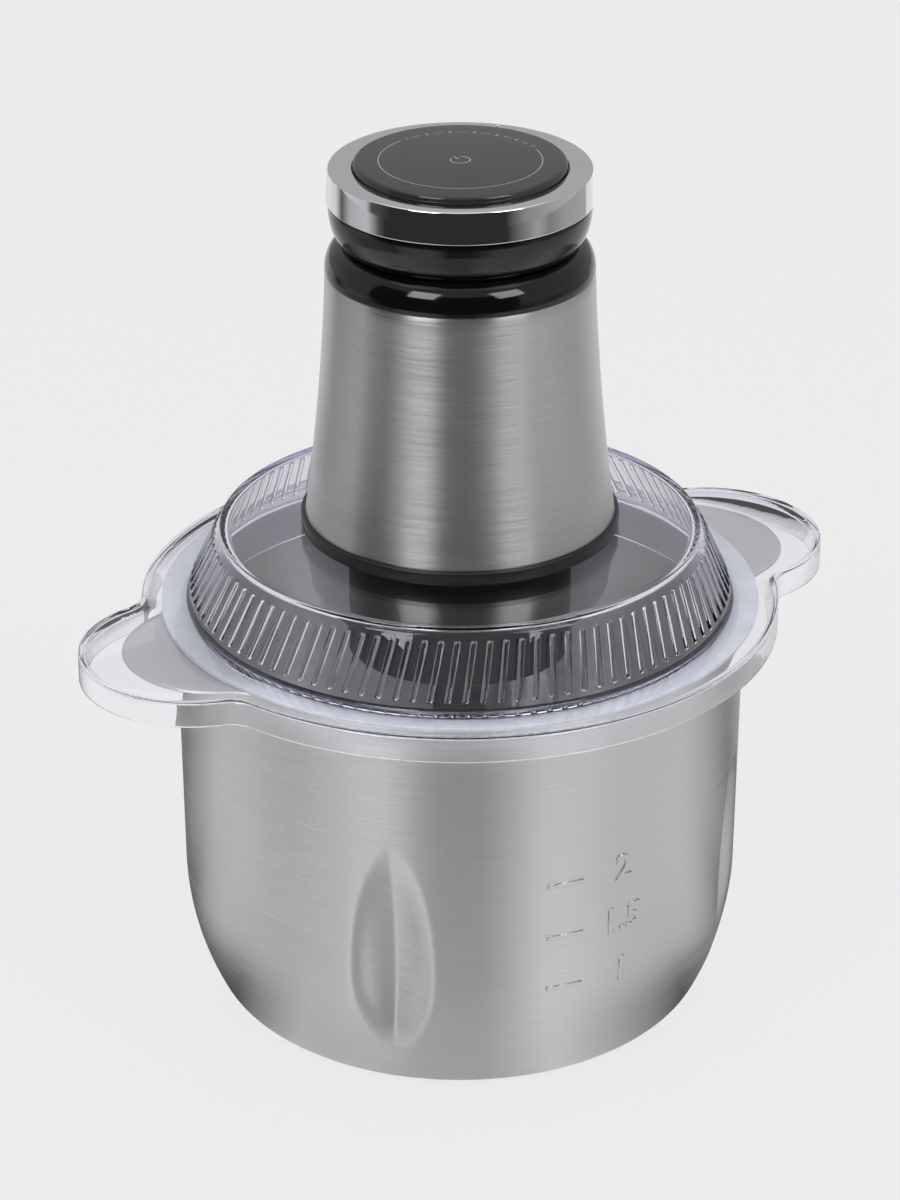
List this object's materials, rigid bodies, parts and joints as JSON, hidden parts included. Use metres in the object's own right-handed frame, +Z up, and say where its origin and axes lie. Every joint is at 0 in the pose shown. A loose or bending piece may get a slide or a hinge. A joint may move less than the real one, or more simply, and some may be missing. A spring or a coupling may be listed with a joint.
{
  "type": "electric food chopper",
  "caption": "Food chopper with a dented steel bowl, clear ribbed lid, blade tower, and a motor unit with planetary gear, speed ring and push button.",
  "frame": {"origin": "middle of the bowl's flat base, on the surface it stands on", "axes": "+Z up along the blade tower's axis; the ears of the rim and the lid lie along +X and -X"},
  "size_m": [0.266, 0.21, 0.2925],
  "materials": {
    "bowl_steel": "stainless sheet, brushed round the bowl",
    "sleeve_steel": "stainless sheet, brushed round the sleeve",
    "clear_lid": "clear moulded styrene acrylonitrile",
    "seal_silicone": "translucent white silicone",
    "hub_plastic": "moulded polypropylene",
    "blade_steel": "satin blade with a ground edge",
    "black_moulding": "fine satin moulding",
    "black_gloss": "polished black moulding",
    "black_rubber": "soft matt rubber",
    "ring_chrome": "chromed plastic",
    "cast_aluminium": "die cast",
    "gear_plastic": "natural acetal",
    "gear_steel": "sintered steel",
    "shaft_steel": "ground steel",
    "screw_steel": "zinc plated",
    "spring_steel": "drawn wire and strip",
    "brass": "turned and pressed brass",
    "bronze": "sintered bronze",
    "lamination_steel": "stacked electrical sheet",
    "copper_wire": "enamelled copper wire",
    "copper_bar": "turned copper bars",
    "carbon": "pressed carbon",
    "bracket_plastic": "glass filled nylon",
    "fan_plastic": "moulded nylon",
    "board_laminate": "green solder resist on laminate",
    "capacitor_film": "yellow film case"
  },
  "bodies": {
    "bowl": {"bowl": "bowl_steel", "pivot_pin": "shaft_steel"},
    "lid": {"lid": "clear_lid", "lid_seal": "seal_silicone"},
    "blade_tower": {"blade_hub": "hub_plastic", "hub_bush": "brass", "lower_blade": "blade_steel", "blade_spacer": "hub_plastic", "upper_blade": "blade_steel", "blade_nut": "hub_plastic"},
    "motor_unit": {"base_housing": "black_moulding", "steel_sleeve": "sleeve_steel", "shoulder": "black_gloss", "head_cup": "black_gloss", "cord_gland": "black_rubber", "housing_screws": "screw_steel", "gearbox_cover": "cast_aluminium", "ring_gear": "gear_plastic", "output_bush": "bronze", "shaft_seal": "black_rubber", "lower_bearing": "shaft_steel", "stator_core": "lamination_steel", "field_coils": "copper_wire", "upper_bracket": "bracket_plastic", "upper_bearing": "shaft_steel", "stator_screws": "screw_steel", "brush_holders": "brass", "carbon_brushes": "carbon", "brush_springs": "spring_steel", "power_board": "board_laminate", "filter_capacitor": "capacitor_film", "suppression_choke": "copper_wire", "power_triac": "black_moulding", "board_screws": "screw_steel", "control_deck": "black_moulding", "control_board": "board_laminate", "start_switch": "black_moulding", "speed_track": "board_laminate", "ring_retainer": "spring_steel", "retainer_screws": "screw_steel", "return_spring": "spring_steel"},
    "rotor": {"rotor_shaft": "shaft_steel", "rotor_core": "lamination_steel", "rotor_windings": "copper_wire", "commutator": "copper_bar", "cooling_fan": "fan_plastic", "sun_pinion": "gear_steel"},
    "carrier": {"planet_carrier": "gear_steel", "planet_pins": "shaft_steel", "drive_coupling": "hub_plastic", "coupling_screw": "screw_steel"},
    "planet_1": {"planet_gear_1": "gear_plastic"},
    "planet_2": {"planet_gear_2": "gear_plastic"},
    "planet_3": {"planet_gear_3": "gear_plastic"},
    "speed_dial": {"speed_ring": "ring_chrome", "speed_wiper": "brass"},
    "button": {"start_button": "black_gloss", "button_clip": "spring_steel"}
  },
  "joints": [
    {"name": "lid_lift", "type": "slide", "parent": "bowl", "child": "lid", "axis": [0, 0, 1], "range_m": [0, 0.15]},
    {"name": "unit_lift", "type": "slide", "parent": "lid", "child": "motor_unit", "axis": [0, 0, 1], "range_m": [0, 0.12]},
    {"name": "rotor_spin", "type": "hinge", "parent": "motor_unit", "child": "rotor", "pos_m": [0, 0, 0.205], "axis": [0, 0, 1], "continuous": true},
    {"name": "carrier_spin", "type": "hinge", "parent": "motor_unit", "child": "carrier", "pos_m": [0, 0, 0.15], "axis": [0, 0, 1], "continuous": true},
    {"name": "planet_1_spin", "type": "hinge", "parent": "carrier", "child": "planet_1", "pos_m": [0.018, 0, 0.16], "axis": [0, 0, 1], "continuous": true},
    {"name": "planet_2_spin", "type": "hinge", "parent": "carrier", "child": "planet_2", "pos_m": [-0.009, 0.01559, 0.16], "axis": [0, 0, 1], "continuous": true},
    {"name": "planet_3_spin", "type": "hinge", "parent": "carrier", "child": "planet_3", "pos_m": [-0.009, -0.01559, 0.16], "axis": [0, 0, 1], "continuous": true},
    {"name": "blade_spin", "type": "hinge", "parent": "bowl", "child": "blade_tower", "pos_m": [0, 0, 0.05], "axis": [0, 0, 1], "continuous": true},
    {"name": "speed_turn", "type": "hinge", "parent": "motor_unit", "child": "speed_dial", "pos_m": [0, 0, 0.285], "axis": [0, 0, 1], "range_deg": [-45, 64]},
    {"name": "button_press", "type": "slide", "parent": "motor_unit", "child": "button", "axis": [0, 0, -1], "range_m": [0, 0.002], "stiffness_N_per_m": 600, "springref_m": -0.002, "deforming": ["return_spring"]}
  ],
  "couplings": [
    {"joint": "carrier_spin", "follows": "rotor_spin", "ratio": 0.16667},
    {"joint": "blade_spin", "follows": "rotor_spin", "ratio": 0.16667},
    {"joint": "planet_1_spin", "follows": "rotor_spin", "ratio": -0.41667},
    {"joint": "planet_2_spin", "follows": "rotor_spin", "ratio": -0.41667},
    {"joint": "planet_3_spin", "follows": "rotor_spin", "ratio": -0.41667}
  ]
}
